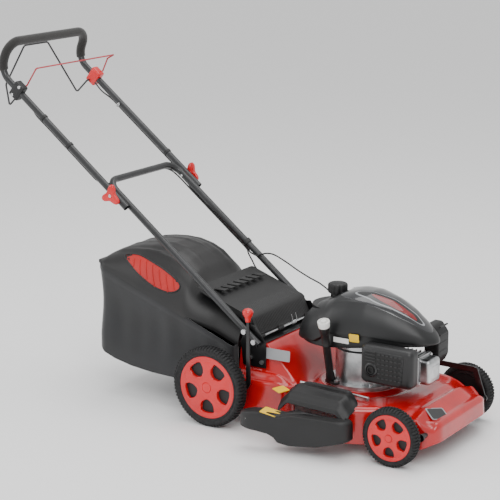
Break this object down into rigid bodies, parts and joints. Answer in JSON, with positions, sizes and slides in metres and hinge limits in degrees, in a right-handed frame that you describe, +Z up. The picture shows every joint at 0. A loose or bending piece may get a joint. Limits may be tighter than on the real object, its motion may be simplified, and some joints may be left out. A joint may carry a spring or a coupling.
{
  "type": "rotary lawn mower",
  "caption": "Petrol rotary lawn mower with a folding two-part handle, two bails, a rear grass catcher, a side chute and crank-axle height adjustment.",
  "frame": {"origin": "on the ground under the rear wheel centres, midway between the wheels", "axes": "+X forward to the front wheels, +Y to the left side of a person pushing, +Z up"},
  "size_m": [1.6158, 0.634, 1.1458],
  "materials": {
    "red_deck": "glossy powder coat",
    "black_steel": "satin black powder coat",
    "zinc_steel": "zinc plated",
    "cast_aluminium": "die cast",
    "turned_steel": "turned",
    "black_plastic": "moulded, fine grain",
    "shroud_plastic": "moulded, semi gloss",
    "red_plastic": "moulded, glossy",
    "tyre_rubber": "moulded tread",
    "foam": "closed cell foam",
    "red_wire": "plastic coated wire",
    "cable_black": "extruded jacket",
    "fabric": "coated woven polyester",
    "exhaust_steel": "heat resistant black"
  },
  "bodies": {
    "deck": {"deck": "red_deck", "hinge_rail": "black_steel", "handle_brackets": "black_steel", "deck_bolts": "zinc_steel", "hinge_rods": "zinc_steel", "engine_base": "cast_aluminium", "cylinder": "cast_aluminium", "valve_cover": "cast_aluminium", "muffler_guard": "exhaust_steel", "muffler": "exhaust_steel", "air_filter_cover": "black_plastic", "shroud": "shroud_plastic", "fuel_tank": "black_plastic", "oil_tube": "black_plastic", "gearbox": "cast_aluminium", "belt": "cable_black", "flap_spring": "zinc_steel"},
    "rotor": {"crankshaft": "turned_steel", "flywheel": "cast_aluminium", "blade_pulley": "turned_steel", "blade": "black_steel", "blade_bolt": "zinc_steel"},
    "gearbox_input": {"gearbox_pulley": "turned_steel"},
    "fuel_cap": {"fuel_cap": "black_plastic"},
    "oil_cap": {"oil_cap": "black_plastic"},
    "rear_flap": {"rear_flap": "black_plastic"},
    "side_door": {"side_door": "black_plastic"},
    "side_chute": {"side_chute": "black_plastic"},
    "rear_crank": {"rear_axle": "black_steel", "height_lever": "black_steel", "height_knob": "red_plastic"},
    "front_crank": {"front_axle": "black_steel"},
    "link": {"link_rod": "black_steel"},
    "wheel_rear_right": {"tyre_rear_right": "tyre_rubber", "disc_rear_right": "red_plastic"},
    "wheel_rear_left": {"tyre_rear_left": "tyre_rubber", "disc_rear_left": "red_plastic"},
    "wheel_front_right": {"tyre_front_right": "tyre_rubber", "disc_front_right": "red_plastic"},
    "wheel_front_left": {"tyre_front_left": "tyre_rubber", "disc_front_left": "red_plastic"},
    "lower_handle": {"lower_handle": "black_steel", "lock_bolts": "zinc_steel", "lower_cable_clip": "black_plastic", "opc_cable_lower": "cable_black", "drive_cable_lower": "cable_black"},
    "upper_handle": {"upper_handle": "black_steel", "grip": "foam", "bail_mounts": "black_plastic", "cable_clips": "black_plastic", "rope_guide": "zinc_steel", "opc_cable_upper": "cable_black", "drive_cable_upper": "cable_black"},
    "knob_right": {"knob_right": "red_plastic"},
    "knob_left": {"knob_left": "red_plastic"},
    "opc_bail": {"opc_bail": "black_steel"},
    "drive_bail": {"drive_bail": "red_wire"},
    "catcher": {"catcher_lid": "black_plastic", "vent_grilles": "red_plastic", "catcher_bag": "fabric"}
  },
  "joints": [
    {"name": "lower_handle_fold", "type": "hinge", "parent": "deck", "child": "lower_handle", "pos_m": [0.123, 0, 0.274], "axis": [0, 1, 0], "range_deg": [0, 110], "deforming": ["opc_cable_lower", "drive_cable_lower"]},
    {"name": "upper_handle_fold", "type": "hinge", "parent": "lower_handle", "child": "upper_handle", "pos_m": [-0.39315, 0, 0.67726], "axis": [0, -1, 0], "range_deg": [-145, 0], "deforming": ["opc_cable_upper", "drive_cable_upper"]},
    {"name": "knob_right_turn", "type": "hinge", "parent": "upper_handle", "child": "knob_right", "pos_m": [-0.39315, -0.2004, 0.67726], "axis": [0, -1, 0], "continuous": true},
    {"name": "knob_left_turn", "type": "hinge", "parent": "upper_handle", "child": "knob_left", "pos_m": [-0.39315, 0.2004, 0.67726], "axis": [0, 1, 0], "continuous": true},
    {"name": "opc_bail_pull", "type": "hinge", "parent": "upper_handle", "child": "opc_bail", "pos_m": [-0.79176, 0, 0.96458], "axis": [0, 1, 0], "range_deg": [0, 15], "stiffness_Nm_per_rad": 1.5, "springref_deg": -28.65},
    {"name": "drive_bail_pull", "type": "hinge", "parent": "upper_handle", "child": "drive_bail", "pos_m": [-0.76144, 0, 0.99038], "axis": [0, -1, 0], "range_deg": [0, 38], "stiffness_Nm_per_rad": 1.5, "springref_deg": -28.65},
    {"name": "height_adjust", "type": "hinge", "parent": "deck", "child": "rear_crank", "pos_m": [0.085, 0, 0.092], "axis": [0, 1, 0], "range_deg": [-15, 15]},
    {"name": "front_crank_turn", "type": "hinge", "parent": "deck", "child": "front_crank", "pos_m": [0.711, 0, 0.089], "axis": [0, 1, 0], "range_deg": [-15, 15]},
    {"name": "link_swing", "type": "hinge", "parent": "rear_crank", "child": "link", "pos_m": [0.055, 0.2175, 0.177], "axis": [0, 1, 0], "range_deg": [-15, 15]},
    {"name": "wheel_rear_right_spin", "type": "hinge", "parent": "rear_crank", "child": "wheel_rear_right", "pos_m": [0, -0.248, 0.127], "axis": [0, 1, 0], "continuous": true},
    {"name": "wheel_rear_left_spin", "type": "hinge", "parent": "rear_crank", "child": "wheel_rear_left", "pos_m": [0, 0.248, 0.127], "axis": [0, 1, 0], "continuous": true},
    {"name": "wheel_front_right_spin", "type": "hinge", "parent": "front_crank", "child": "wheel_front_right", "pos_m": [0.636, -0.25, 0.089], "axis": [0, 1, 0], "continuous": true},
    {"name": "wheel_front_left_spin", "type": "hinge", "parent": "front_crank", "child": "wheel_front_left", "pos_m": [0.636, 0.25, 0.089], "axis": [0, 1, 0], "continuous": true},
    {"name": "rotor_spin", "type": "hinge", "parent": "deck", "child": "rotor", "pos_m": [0.4, 0, 0.1], "axis": [0, 0, 1], "continuous": true},
    {"name": "gearbox_input_spin", "type": "hinge", "parent": "deck", "child": "gearbox_input", "pos_m": [0.112, 0.076, 0.1], "axis": [0, 0, 1], "continuous": true},
    {"name": "fuel_cap_turn", "type": "hinge", "parent": "deck", "child": "fuel_cap", "pos_m": [0.308, 0, 0.43], "axis": [0, 0, 1], "range_deg": [0, 120]},
    {"name": "oil_cap_turn", "type": "hinge", "parent": "deck", "child": "oil_cap", "pos_m": [0.352, -0.156, 0.352], "axis": [0.0402, -0.2963, 0.9542], "range_deg": [0, 180]},
    {"name": "rear_flap_open", "type": "hinge", "parent": "deck", "child": "rear_flap", "pos_m": [0.115, 0, 0.277], "axis": [0, 1, 0], "range_deg": [0, 70], "stiffness_Nm_per_rad": 1.2, "springref_deg": -34.38, "deforming": ["flap_spring"]},
    {"name": "side_door_open", "type": "hinge", "parent": "deck", "child": "side_door", "pos_m": [0.388, -0.153, 0.1586], "axis": [0.9962, -0.0872, 0], "range_deg": [-65, 0], "stiffness_Nm_per_rad": 0.8, "springref_deg": 28.65},
    {"name": "side_chute_pull", "type": "slide", "parent": "deck", "child": "side_chute", "axis": [-0.0872, -0.9962, 0], "range_m": [0, 0.18]},
    {"name": "catcher_pull", "type": "slide", "parent": "deck", "child": "catcher", "axis": [-1, 0, 0], "range_m": [0, 0.4]}
  ],
  "couplings": [
    {"joint": "front_crank_turn", "follows": "height_adjust", "ratio": 1},
    {"joint": "link_swing", "follows": "height_adjust", "ratio": -1},
    {"joint": "gearbox_input_spin", "follows": "rotor_spin", "ratio": 1}
  ]
}
